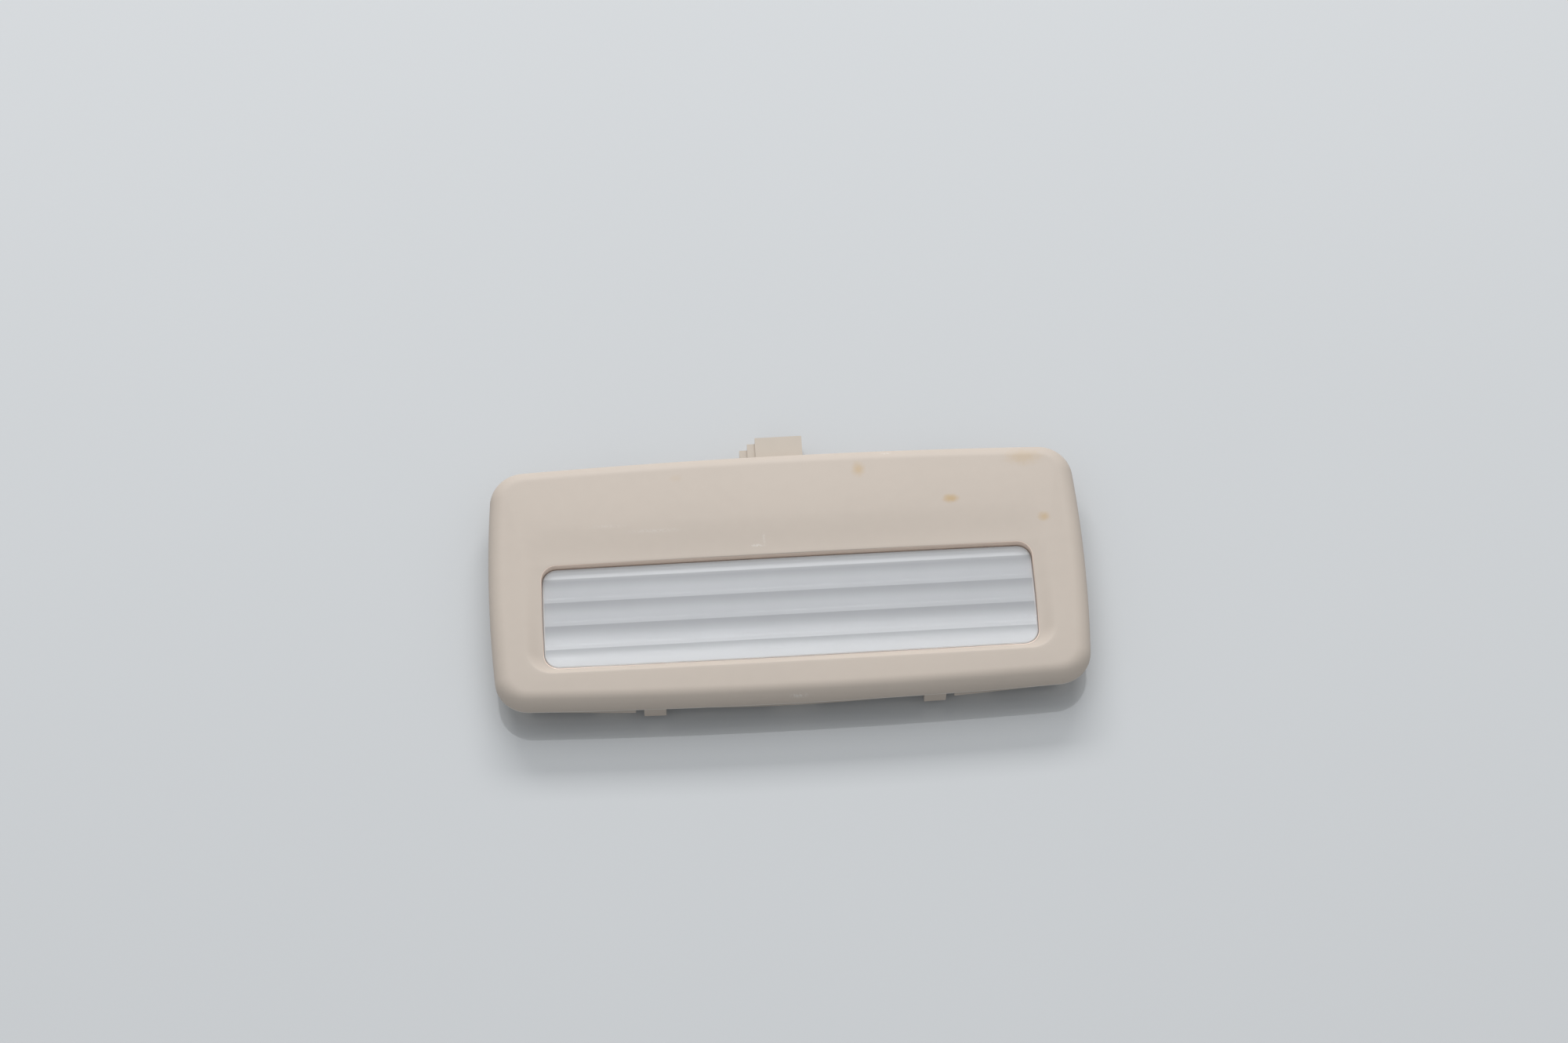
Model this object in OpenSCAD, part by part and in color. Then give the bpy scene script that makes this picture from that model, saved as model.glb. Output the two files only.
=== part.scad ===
// Slim interior light for a car's roof lining: a moulded bezel with a fluted lens,
// and behind it a tub with a reflector, a tubular bulb, its contacts and the socket.
// It lies face up: X runs along its length, +Y to the side with the socket, +Z out of the face.
// Z = 0 is the plane that the back of the tub stands on, under the middle of the bezel.

/* [Bezel] */
// Length over the bowed short sides
bezel_l = 110; // [104:1:124]
// Width over the bowed long sides
bezel_w = 50.4; // [49:0.2:56]
// How far each long side bows out
bow_long = 1.2; // [0.4:0.1:2]
// How far each short side bows out
bow_short = 1.25; // [0.4:0.05:2]
// Radius of the corners seen from the front
corner_r = 6.4; // [5:0.1:9]
// Height of the underside of the rim above the back plane
rim_z = 5.4; // [5:0.1:8]
// Upright part of the rim's edge
rim_side = 0.5; // [0.3:0.1:1.5]
// Radius of the round over the rim
rim_round = 3; // [2:0.1:3.4]
// Rise of the crown over the rim, on the side with the socket
crown_rise = 0.4; // [0.3:0.05:1]
// Rise of the near strip over the rim
near_rise = 0.1; // [0:0.05:0.4]
// Wall of the rim beside the pocket for the tub
rim_wall = 2.2; // [1.8:0.1:2.6]
// Height of the pocket's ceiling above the underside of the rim
ceiling_rise = 1.6; // [1.4:0.1:1.8]

/* [Window] */
// Length of the window
window_l = 90.5; // [80:0.5:94]
// Width of the window
window_w = 20.5; // [16:0.5:22]
// Distance of the window's middle from the bezel's middle, towards the near side
window_shift = 6.6; // [5.5:0.1:7]
// Corner radius of the window
window_r = 2.8; // [1.5:0.1:4]
// Width of the soft slope at the window's ends
slope_end = 3.5; // [2:0.1:4]
// Width of the soft slope at the window's near side
slope_near = 1.5; // [1:0.1:2]
// Width of the long slope at the window's far side
slope_far = 8.3; // [6:0.1:9]
// Height of the bezel's face above the lens at the far side of the window
step_far = 1.2; // [0.8:0.1:1.6]
// Height of the bezel's face above the lens at the near side of the window
step_near = 0.15; // [0.1:0.05:0.4]

/* [Near edge] */
// Distance of each locating tab from the middle
tab_x = 25.5; // [18:0.5:32]
// Width of a locating tab
tab_w = 4; // [3:0.5:6]
// Drop of a locating tab below the rim
tab_drop = 3.4; // [2:0.1:4.5]
// Thickness of the tabs and the lip
lip_t = 1.2; // [0.8:0.1:1.4]
// Distance of the lip behind the rim's edge
lip_inset = 0.4; // [0.3:0.05:0.7]
// Drop of the lip where it is deepest
lip_drop = 1.8; // [1:0.1:2.5]
// Notch between a tab and the lip outside it
notch_w = 1.5; // [1:0.1:2.5]

/* [Lens] */
// Rise of the lens over the pocket's ceiling
lens_rise = 0.7; // [0.5:0.05:0.8]
// Thickness of the flange that is held behind the window
lens_flange_t = 1.0; // [0.8:0.1:1.2]
// Width of that flange beyond the window
lens_flange_w = 1.6; // [1.2:0.1:1.8]
// Width of one flute
flute_pitch = 4.75; // [3:0.25:6]
// Depth of one flute
flute_depth = 0.45; // [0.2:0.05:0.5]
// Width of the first flute that shows beyond the window's near edge
flute_first = 4; // [2:0.25:4.5]

/* [Tub] */
// Wall of the tub
tub_wall = 1.3; // [1:0.1:1.6]
// Floor of the tub
floor_t = 1.2; // [1:0.1:1.4]
// Gap between the tub and the bezel's rim wall
tub_gap = 0.4; // [0.2:0.05:0.8]
// Height of the raised floor under the near strip
near_floor_z = 2.2; // [1.6:0.1:2.4]
// Depth of the raised strip, from the near wall
near_floor_w = 8; // [5:0.5:9]
// Width of the foot in the middle of the near side
foot_mid_w = 8; // [5:0.5:12]
// Width of the two outer feet
foot_end_w = 6.5; // [4:0.5:9]
// Distance of the outer feet from the middle
foot_x = 33; // [24:0.5:38]

/* [Socket] */
// Outer width of the socket
socket_w = 8.8; // [8:0.1:11]
// Outer height of the socket
socket_h = 4.9; // [4.5:0.1:5]
// Reach of the socket beyond the bezel's edge
socket_reach = 5; // [3:0.1:7]
// Wall of the socket
socket_wall = 0.9; // [0.7:0.1:1.1]
// Distance of the socket's middle from the bezel's middle
socket_x = 0; // [-3:0.1:3]
// Width of one coding rib beside the socket
code_w = 1.5; // [1:0.1:1.8]
// How much shorter each coding rib is than the step before it
code_step = 1; // [0.6:0.05:1.6]

/* [Bulb] */
// Diameter of the bulb's glass
bulb_d = 5.6; // [4.6:0.1:5.8]
// Length of the bulb over its tips
bulb_l = 36; // [30:0.5:42]
// Distance of the bulb from the bezel's middle
bulb_y = 9; // [8.5:0.1:10]
// Height of the bulb's middle
bulb_z = 4.85; // [4.7:0.05:5]
// Length of a cap's straight part
cap_l = 5.2; // [4:0.1:6]
// Length of the cone on a cap
cap_tip = 2.2; // [1.5:0.1:2.6]
// Wall of the glass
glass_t = 0.45; // [0.3:0.05:0.6]

/* [Sheet parts] */
// Thickness of the reflector
reflector_t = 0.5; // [0.4:0.05:0.8]
// Length of the reflector
reflector_l = 93; // [86:0.5:94]
// Thickness of the contact strips
strip_t = 0.5; // [0.4:0.05:0.6]
// Width of the contact strips
strip_w = 3; // [2.2:0.1:3.4]
// Width of the two socket pins
pin_w = 1.6; // [1.2:0.1:2]
// Thickness of the heat shield over the bulb
shield_t = 0.3; // [0.2:0.05:0.4]
// Length of the heat shield
shield_l = 46; // [40:1:54]
// Thickness of the retaining clips
clip_t = 0.5; // [0.4:0.05:0.6]
// Width of the retaining clips
clip_w = 8; // [6:0.5:12]
// Distance of the retaining clips from the middle
clip_x = 30; // [24:0.5:36]

/* [Hidden] */
$fn = 48;
beige = [0.79, 0.75, 0.71];

// Play between a piece and the seat it drops into
play = 0.15;
// How far a cutting shape passes the face it cuts
past = 1;

// Heights
rim_top = rim_z + rim_side + rim_round;
ceiling_z = rim_z + ceiling_rise;
lens_top = ceiling_z + lens_rise;
lens_under = ceiling_z - lens_flange_t;
flute_low = lens_under - flute_depth;
face_far = lens_top + step_far;
face_near = lens_top + step_near;
crown_wall = 1.2;
crown_ceiling = rim_top + crown_rise - crown_wall;
tub_top = ceiling_z;

// Places along Y
window_y = -window_shift;
window_near = window_y - window_w / 2;
window_far = window_y + window_w / 2;
tub_inset = rim_wall + tub_gap;
inner_inset = tub_inset + tub_wall;
near_step_y = -bezel_w / 2 + tub_inset + near_floor_w;
far_wall_y = bezel_w / 2 - tub_inset;

// Steps round a quarter of an outline: short side, corner, long side
SHORT_STEPS = 5;
CORNER_STEPS = 12;
LONG_STEPS = 12;

function clamp(v) = min(1, max(0, v));
function smooth(t) = t * t * (3 - 2 * t);
function mix(a, b, t) = a + (b - a) * t;

// Corner centre of an outline with bowed sides, found by a few passes of moving the arc's ends onto the sides
function side_angle(h, bow, along) = atan(2 * bow * along / (h * h));
function corner_at(hl, hw, bs, bl, r, c, passes) =
    let (
        a0 = side_angle(hw, bs, c.y),
        a1 = 90 - side_angle(hl, bl, c.x),
        y0 = c.y + r * sin(a0),
        x1 = c.x + r * cos(a1),
        next = [hl - bs * pow(y0 / hw, 2) - r * cos(a0), hw - bl * pow(x1 / hl, 2) - r * sin(a1)]
    )
    passes == 0 ? [next, a0, a1] : corner_at(hl, hw, bs, bl, r, next, passes - 1);

// Quarter of an outline with bowed sides, from the middle of the short side to the middle of the long one
function quarter(hl, hw, bs, bl, r) =
    let (
        found = corner_at(hl, hw, bs, bl, r, [hl - r, hw - r], 5),
        c = found[0],
        a0 = found[1],
        a1 = found[2],
        y0 = c.y + r * sin(a0),
        x1 = c.x + r * cos(a1)
    )
    concat(
        [for (i = [0:SHORT_STEPS - 1])
            let (y = y0 * i / SHORT_STEPS) [hl - bs * pow(y / hw, 2), y]],
        [for (i = [0:CORNER_STEPS])
            let (a = mix(a0, a1, i / CORNER_STEPS)) [c.x + r * cos(a), c.y + r * sin(a)]],
        [for (i = [LONG_STEPS - 1:-1:0])
            let (x = x1 * i / LONG_STEPS) [x, hw - bl * pow(x / hl, 2)]]
    );

// The whole outline, anticlockwise, round a middle that lies cy along Y
function outline(hl, hw, bs, bl, r, cy = 0) =
    let (q = quarter(hl, hw, bs, bl, r), n = len(q) - 1)
    concat(
        [for (i = [0:n - 1]) [q[i].x, cy + q[i].y]],
        [for (i = [n:-1:1]) [-q[i].x, cy + q[i].y]],
        [for (i = [0:n - 1]) [-q[i].x, cy - q[i].y]],
        [for (i = [n:-1:1]) [q[i].x, cy - q[i].y]]
    );

// The bezel's outline moved in by a distance
function bezel_outline(inset) =
    outline(bezel_l / 2 - inset, bezel_w / 2 - inset, bow_short, bow_long,
        max(corner_r - inset, 1));

// The window's outline moved out by a distance
window_bow = 0.15;
function window_outline(out) =
    outline(window_l / 2 + out, window_w / 2 + out, window_bow, window_bow,
        max(window_r + out, 0.5), window_y);

// The line where the soft slopes round the window begin
slope_r = 5;
slope_outline = outline(window_l / 2 + slope_end, (window_w + slope_near + slope_far) / 2,
    window_bow, window_bow, slope_r, window_y + (slope_far - slope_near) / 2);

// Half width of the bezel's outline, moved in by a distance, at a place along X
function half_width(x, inset) =
    bezel_w / 2 - inset - bow_long * pow(x / (bezel_l / 2 - inset), 2);

module prism(points, z0, z1) {
    translate([0, 0, z0]) linear_extrude(z1 - z0) polygon(points);
}

// A profile drawn with X for the part's Y and Y for its Z, run along X between two places
module run_x(x0, x1) {
    translate([x0, 0, 0]) rotate([90, 0, 90]) linear_extrude(x1 - x0) children();
}

// A profile drawn with X for the part's X and Y for its Z, run along Y between two places
module run_y(y0, y1) {
    translate([0, y1, 0]) rotate([90, 0, 0]) linear_extrude(y1 - y0) children();
}

module block(low, high) {
    translate(low) cube(high - low);
}

module both_sides() {
    children();
    mirror([1, 0, 0]) children();
}

// Bezel
ROUND_STEPS = 8;
FACE_STEPS = 4;
SLOPE_STEPS = 9;
EDGE_STEPS = 3;
// Fall of the crown from its middle to its ends
crown_fall = 0.15;
// Round on the window's edge, and round under the rim
edge_r = 0.2;
under_r = 0.25;

function lift(points, z) = [for (p = points) [p.x, p.y, z]];

// Height of the line where the slopes begin: crowned on the far side, low on the near side
function ridge_z(p) =
    let (t = smooth(clamp((p.y - window_near) / (window_far + slope_far - window_near))))
    rim_top + mix(near_rise, crown_rise - crown_fall * pow(2 * p.x / bezel_l, 2), t);

// Height of the window's edge
function edge_z(p) = mix(face_near, face_far, clamp((p.y - window_near) / window_w));

function face_rings() =
    let (rim = bezel_outline(rim_round), edge = window_outline(edge_r))
    concat(
        [for (k = [1:FACE_STEPS]) let (t = k / FACE_STEPS)
            [for (i = [0:len(rim) - 1])
                let (p = mix(rim[i], slope_outline[i], t))
                [p.x, p.y, mix(rim_top, ridge_z(p), sin(90 * t))]]],
        [for (k = [1:SLOPE_STEPS]) let (t = k / SLOPE_STEPS)
            [for (i = [0:len(edge) - 1])
                let (p = mix(slope_outline[i], edge[i], t))
                [p.x, p.y, mix(ridge_z(p), edge_z(p), smooth(t))]]],
        [for (k = [1:EDGE_STEPS]) let (a = 90 * k / EDGE_STEPS)
            [for (p = window_outline(edge_r * (1 - sin(a))))
                [p.x, p.y, edge_z(p) - edge_r * (1 - cos(a))]]]
    );

function bezel_rings() =
    concat(
        [for (k = [0:EDGE_STEPS - 1]) let (a = 90 * k / EDGE_STEPS)
            lift(bezel_outline(under_r * (1 - sin(a))), rim_z + under_r * (1 - cos(a)))],
        [lift(bezel_outline(0), rim_z + under_r)],
        [for (k = [0:ROUND_STEPS]) let (a = 90 * k / ROUND_STEPS)
            lift(bezel_outline(rim_round * (1 - cos(a))), rim_z + rim_side + rim_round * sin(a))],
        face_rings(),
        [lift(window_outline(-past), lens_under)]
    );

// Solid through a stack of rings that all have the same number of points
module loft(rings) {
    n = len(rings[0]);
    last = len(rings) - 1;
    points = [for (ring = rings) each ring];
    sides = [for (k = [0:last - 1], i = [0:n - 1])
        let (a = k * n + i, b = a + n, c = (k + 1) * n + (i + 1) % n, d = k * n + (i + 1) % n)
        each [[a, b, c], [a, c, d]]];
    caps = [[for (i = [0:n - 1]) i], [for (i = [n - 1:-1:0]) last * n + i]];
    polyhedron(points, concat(sides, caps));
}

// Room over the bulb, cut up into the crown
crown_room_l = window_l + 2;
crown_room_near = window_far + lens_flange_w + play;
crown_far_wall = 5.4;
crown_room_far = bezel_w / 2 - crown_far_wall;

// Stakes that hold the lens and the heat shield
stake_d = 1.4;
stake_out = 1.1;
stake_x = window_l / 2 + lens_flange_w + stake_out;
stake_y = window_y;
shield_stake_x = shield_l / 2 - 2;
shield_over = 2.6;
shield_near = crown_room_near + play;
shield_far = bulb_y + bulb_d / 2 + shield_over;
shield_y = (shield_near + shield_far) / 2;

// Snap seats for the tub: two on each long side, one at each end
snap_w = 6;
snap_depth = 0.6;
snap_z = rim_z + 0.45;
snap_h = 0.9;
snap_x = 40;
snap_end_y = 2;

// Front view of the lip and the tabs on one side of the middle, X along the edge and Y up
lip_end = bezel_l / 2 - corner_r - 1.4;
lip_end_drop = 0.5;
lip_mid_drop = 1.3;
function lip_view() =
    let (
        tab_in = tab_x - tab_w / 2,
        tab_out = tab_x + tab_w / 2,
        lip_in = tab_out + notch_w,
        up = rim_z + 0.4,
        steps = 8
    )
    concat(
        [for (k = [0:steps]) let (x = tab_in * k / steps)
            [x, rim_z - lip_mid_drop * (1 - pow(k / steps, 2))]],
        [[tab_in, rim_z - tab_drop], [tab_out, rim_z - tab_drop], [tab_out, rim_z],
            [lip_in, rim_z], [lip_in, rim_z - lip_drop], [lip_end, rim_z - lip_end_drop],
            [lip_end, up], [0, up]]
    );

module near_lip() {
    intersection() {
        difference() {
            prism(bezel_outline(lip_inset), rim_z - tab_drop - past, rim_z + 0.4);
            prism(bezel_outline(lip_inset + lip_t), rim_z - tab_drop - 2 * past, rim_z + past);
        }
        both_sides() run_y(-bezel_w, 0) polygon(lip_view());
    }
}

// Wedge-shaped seat in the rim wall, pointing along -Y from the tub's wall
module snap_seat() {
    hull() {
        translate([-snap_w / 2 - play, 0, snap_z - play])
            cube([snap_w + 2 * play, 0.1, snap_h + 2 * play]);
        translate([-snap_w / 2 - play, -tub_gap - snap_depth, snap_z - play])
            cube([snap_w + 2 * play, 0.1, snap_h / 2 + 2 * play]);
    }
}

module at_snaps() {
    for (s = [-1, 1]) {
        translate([s * snap_x, -half_width(snap_x, tub_inset), 0]) children();
        translate([s * snap_x, half_width(snap_x, tub_inset), 0]) rotate(180) children();
        translate([s * (bezel_l / 2 - tub_inset), snap_end_y, 0]) rotate(s * 90) children();
    }
}

module bezel() {
    color(beige) {
        difference() {
            loft(bezel_rings());
            prism(window_outline(0), rim_z, rim_top + crown_rise + past);
            prism(bezel_outline(rim_wall), rim_z - past, ceiling_z);
            crown_room();
            at_snaps() snap_seat();
        }
        near_lip();
        both_sides() translate([stake_x, stake_y, lens_under - 0.5])
            cylinder(d = stake_d, h = lens_flange_t + 0.7, $fn = 16);
        both_sides() translate([shield_stake_x, shield_y, crown_ceiling - shield_t - 0.4])
            cylinder(d = stake_d, h = shield_t + 0.8, $fn = 16);
    }
}

module crown_room() {
    r = 3;
    hull() {
        for (x = [-1, 1], y = [crown_room_near + r, crown_room_far - r]) {
            translate([x * (crown_room_l / 2 - r), y, rim_z])
                cylinder(r = r, h = crown_ceiling - rim_z, $fn = 32);
        }
    }
}

// Lens
flute_r = (pow(flute_pitch / 2, 2) + pow(flute_depth, 2)) / (2 * flute_depth);
flutes_y0 = window_near + flute_first - flute_pitch;
flute_count = ceil((window_far + lens_flange_w - flutes_y0) / flute_pitch);

// End view of the flutes: a row of round-bellied ridges under the flange
module flutes_view() {
    for (i = [0:flute_count - 1]) {
        y = flutes_y0 + flute_pitch * i;
        intersection() {
            translate([y, flute_low]) square([flute_pitch, flute_depth + 0.1]);
            translate([y + flute_pitch / 2, flute_low + flute_r]) circle(flute_r, $fn = 96);
        }
    }
}

ear_w = 4;
ear_reach = 2.2;
module lens() {
    color([0.9, 0.92, 0.95]) difference() {
        union() {
            prism(window_outline(-play), lens_under, lens_top);
            prism(window_outline(lens_flange_w), lens_under, ceiling_z);
            intersection() {
                prism(window_outline(lens_flange_w - 0.6), flute_low - past, lens_under + 0.1);
                run_x(-bezel_l / 2, bezel_l / 2) flutes_view();
            }
            both_sides() block(
                [window_l / 2, stake_y - ear_w / 2, lens_under],
                [window_l / 2 + lens_flange_w + ear_reach, stake_y + ear_w / 2, ceiling_z]);
        }
        both_sides() translate([stake_x, stake_y, lens_under - past])
            cylinder(d = stake_d + 0.2, h = lens_flange_t + 2 * past);
    }
}

// Rear housing
// End view of the tub's outside: the near strip is raised on feet
module tub_outside() {
    polygon([[-bezel_w, near_floor_z], [near_step_y, near_floor_z], [near_step_y, 0],
        [bezel_w, 0], [bezel_w, tub_top], [-bezel_w, tub_top]]);
}

// End view of the tub's inside, one floor or wall further in
module tub_inside() {
    polygon([[-bezel_w, near_floor_z + floor_t], [near_step_y + tub_wall, near_floor_z + floor_t],
        [near_step_y + tub_wall, floor_t], [bezel_w, floor_t],
        [bezel_w, tub_top + past], [-bezel_w, tub_top + past]]);
}

module tub() {
    difference() {
        intersection() {
            prism(bezel_outline(tub_inset), 0, tub_top);
            run_x(-bezel_l, bezel_l) tub_outside();
        }
        intersection() {
            prism(bezel_outline(inner_inset), 0, tub_top + past);
            run_x(-bezel_l, bezel_l) tub_inside();
        }
    }
}

// Foot under the raised strip
module solid_foot(x, w) {
    intersection() {
        prism(bezel_outline(tub_inset), 0, near_floor_z + 0.1);
        block([x - w / 2, -bezel_w, 0], [x + w / 2, near_step_y + 0.1, near_floor_z + 0.1]);
    }
}

// Foot with its middle cored out from below, so that its walls stay even
module cored_foot(x, w) {
    difference() {
        solid_foot(x, w);
        block([x - w / 2 + tub_wall, -half_width(x, inner_inset), -past],
            [x + w / 2 - tub_wall, near_step_y - play, near_floor_z]);
    }
}

module feet() {
    end_x = bezel_l / 2 - tub_inset - corner_r / 2;
    cored_foot(0, foot_mid_w);
    for (s = [-1, 1]) {
        cored_foot(s * foot_x, foot_end_w);
        solid_foot(s * end_x, 2 * tub_wall);
    }
}

// Wedge on the tub's wall that sits in the bezel's snap seat, pointing along -Y
module snap_barb() {
    translate([-snap_w / 2, 0, 0]) run_x(0, snap_w) polygon([
        [0.3, snap_z], [-tub_gap - snap_depth + 0.1, snap_z],
        [-tub_gap - snap_depth + 0.1, snap_z + snap_h / 2 - 0.05], [0, snap_z + snap_h], [0.3, snap_z + snap_h]]);
}

// Socket for the plug, open towards +Y, with two coding ribs on its left
socket_end = bezel_w / 2 + socket_reach;
socket_floor_y = far_wall_y + 0.6;
cavity_w = socket_w - 2 * socket_wall;
cavity_h = socket_h - 2 * socket_wall;
key_w = 2.4;
key_h = 0.45;
module socket_shell() {
    left = socket_x - socket_w / 2;
    block([left, far_wall_y - tub_wall + 0.1, 0], [left + socket_w, socket_end, socket_h]);
    for (i = [1:2]) {
        block([left - i * code_w, far_wall_y - tub_wall + 0.1, 0],
            [left - (i - 1) * code_w + 0.01, socket_end - i * code_step, socket_h - i * 0.5]);
    }
}

module socket_cavity() {
    left = socket_x - cavity_w / 2;
    block([left, socket_floor_y, socket_wall], [left + cavity_w, socket_end + past, socket_wall + cavity_h]);
    block([socket_x - key_w / 2, socket_floor_y + 2, socket_wall + cavity_h - past],
        [socket_x + key_w / 2, socket_end + past, socket_wall + cavity_h + key_h]);
}

// Posts that the contact strips are staked on: a pin through the strip and a flattened head
post_d = 1.5;
head_d = 2.6;
head_h = 0.5;
lane_y = far_wall_y - tub_wall - 0.5 - strip_w / 2;
post_x = [9, bulb_l / 2 + 2];
module post(x) {
    translate([x, lane_y, floor_t - 0.1]) cylinder(d = post_d, h = strip_t + 0.2);
    translate([x, lane_y, floor_t + strip_t]) cylinder(d1 = head_d, d2 = post_d, h = head_h);
}

// Slot in the far wall that a retaining clip is pressed through
clip_gap = 0.1;
clip_rise = 0.6;
clip_wall_y = half_width(clip_x, tub_inset);
module clip_slot() {
    block([-clip_w / 2 - play, -tub_wall - past, floor_t + clip_rise],
        [clip_w / 2 + play, past, floor_t + clip_rise + clip_t + 2 * clip_gap]);
}

// Vents through the floor under the bulb
vent_w = 1.2;
vent_l = 9;
vent_pitch = 3.2;
module vents() {
    for (i = [-3:3]) {
        block([i * vent_pitch - vent_w / 2, bulb_y - vent_l / 2, -past],
            [i * vent_pitch + vent_w / 2, bulb_y + vent_l / 2, floor_t + past]);
    }
}

// Rounded rectangle round a middle
module round_rect(l, w, r) {
    square([l - 2 * r, w], center = true);
    square([l, w - 2 * r], center = true);
    for (x = [-1, 1], y = [-1, 1]) translate([x * (l / 2 - r), y * (w / 2 - r)]) circle(r);
}

// Shallow panels sunk into the back, and the round marks that the mould's pins leave
panel_depth = 0.3;
panel_l = 28;
panel_w = 21;
panel_x = 29;
panel_y = 5.2;
pin_mark_d = 3.2;
pin_mark_depth = 0.12;
module back_relief() {
    both_sides() {
        translate([panel_x, panel_y, -past]) linear_extrude(past + panel_depth)
            difference() {
                round_rect(panel_l, panel_w, 2);
                for (x = [-1, 1]) translate([x * panel_l / 6, 0]) square([1, panel_w], center = true);
            }
        for (y = [-1, 1]) {
            translate([panel_x, panel_y + y * panel_w / 4, -past])
                cylinder(d = pin_mark_d, h = past + panel_depth + pin_mark_depth);
        }
        translate([bezel_l / 2 - tub_inset - 4, panel_y, -past])
            cylinder(d = pin_mark_d, h = past + pin_mark_depth);
    }
}

module rear_housing() {
    color([0.77, 0.73, 0.68]) difference() {
        union() {
            tub();
            feet();
            at_snaps() snap_barb();
            socket_shell();
            both_sides() for (x = post_x) post(x);
        }
        socket_cavity();
        pin_slots();
        for (s = [-1, 1]) translate([s * clip_x, clip_wall_y, 0]) clip_slot();
        vents();
        back_relief();
    }
}

// Reflector: a trough under the bulb that rises to the near edge of the lens
trough_y = bulb_y;
trough_near = window_near - lens_flange_w + 0.4;
trough_far = bulb_y + bulb_d / 2 + 3.2;
trough_top = flute_low - 0.1;
trough_far_top = ceiling_z - 0.2;
function trough_z(y) =
    y < trough_y
    ? floor_t + (trough_top - reflector_t - floor_t) * pow((trough_y - y) / (trough_y - trough_near), 2)
    : floor_t + (trough_far_top - reflector_t - floor_t) * pow((y - trough_y) / (trough_far - trough_y), 2);

NEAR_STEPS = 14;
FAR_STEPS = 8;
trough_ys = concat(
    [for (i = [0:NEAR_STEPS - 1]) mix(trough_near, trough_y, i / NEAR_STEPS)],
    [for (i = [0:FAR_STEPS]) mix(trough_y, trough_far, i / FAR_STEPS)]);

slot_w = 7.4;
slot_l = 7;
cheek_t = 0.6;
module reflector() {
    n = len(trough_ys) - 1;
    cheek_far = window_far + lens_flange_w;
    color("white") difference() {
        union() {
            run_x(-reflector_l / 2, reflector_l / 2) polygon(concat(
                [for (i = [0:n]) [trough_ys[i], trough_z(trough_ys[i])]],
                [for (i = [n:-1:0]) [trough_ys[i], trough_z(trough_ys[i]) + reflector_t]]));
            for (x = [-reflector_l / 2, reflector_l / 2 - cheek_t]) {
                run_x(x, x + cheek_t) polygon(concat(
                    [for (y = trough_ys) if (y < cheek_far) [y, trough_z(y)]],
                    [[cheek_far, trough_z(cheek_far)], [cheek_far, trough_top], [trough_near, trough_top]]));
            }
        }
        both_sides() block([blade_x - slot_l / 2 + 1.5, bulb_y - slot_w / 2, 0],
            [blade_x + slot_l / 2 + 1.5, trough_far + past, ceiling_z + past]);
    }
}

// Heat shield: bright sheet under the crown, staked to the bezel over the bulb
shield_lip = 1.4;
module heat_shield() {
    color("silver") difference() {
        union() {
            block([-shield_l / 2, shield_near, crown_ceiling - shield_t],
                [shield_l / 2, shield_far, crown_ceiling]);
            block([-shield_l / 2, shield_far - shield_t, crown_ceiling - shield_lip],
                [shield_l / 2, shield_far, crown_ceiling]);
        }
        both_sides() translate([shield_stake_x, shield_y, 0])
            cylinder(d = stake_d + 0.2, h = crown_ceiling + past);
    }
}

// Bulb, drawn along Z and laid along X
cap_d = bulb_d - 0.2;
cap_wall = 0.3;
neck_d = cap_d - 2 * cap_wall - 0.2;
glass_half = bulb_l / 2 - cap_tip - cap_l;
neck_l = 2.4;
tip_d = 1;
cone_d = 3.4;
lead_d = 0.5;
filament_d = 0.5;
filament_half = 7;

module lay_bulb() {
    translate([0, bulb_y, bulb_z]) rotate([0, 90, 0]) children();
}

module bulb_glass() {
    r = bulb_d / 2;
    rn = neck_d / 2;
    end = glass_half + neck_l;
    color([0.9, 0.95, 1]) lay_bulb() rotate_extrude() {
        difference() {
            union() {
                translate([0, -glass_half]) square([r, 2 * glass_half]);
                translate([0, -end]) square([rn, 2 * end]);
            }
            translate([-past, -glass_half + glass_t]) square([r - glass_t + past, 2 * (glass_half - glass_t)]);
            translate([-past, -end - past]) square([lead_d / 2 + 0.1 + past, 2 * (end + past)]);
        }
    }
}

module bulb_cap() {
    r = cap_d / 2;
    z0 = glass_half + play;
    z1 = bulb_l / 2 - cap_tip;
    lay_bulb() rotate_extrude() polygon([
        [r - cap_wall, z0], [r, z0], [r, z1 - 0.3], [r - 0.3, z1], [cone_d / 2, z1],
        [tip_d / 2, bulb_l / 2], [0, bulb_l / 2], [0, z1 - cap_wall],
        [r - cap_wall, z1 - cap_wall]]);
}

module bulb_cap_right() { color("silver") bulb_cap(); }
module bulb_cap_left() { color("silver") mirror([1, 0, 0]) bulb_cap(); }

module bulb_filament() {
    color("dimgray") lay_bulb()
        cylinder(d = filament_d, h = 2 * filament_half, center = true);
}

module bulb_leads() {
    reach = bulb_l / 2 - cap_tip - cap_wall;
    color("gray") both_sides() lay_bulb()
        translate([0, 0, filament_half]) cylinder(d = lead_d, h = reach - filament_half);
}

// Contacts: an upright blade with a hole for the cap's tip, and a strip to a pin in the socket
blade_w = 5.4;
blade_top = bulb_z + 2.4;
blade_seat = 0.8;
blade_x = bulb_l / 2 - blade_seat;
tip_hole = tip_d + (cone_d - tip_d) * blade_seat / cap_tip + 0.3;
pin_pitch = 3.2;
pin_end = socket_end - 1.2;
pin_z = socket_wall + cavity_h / 2;
pin_run_y = far_wall_y - tub_wall - 0.4;

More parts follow.
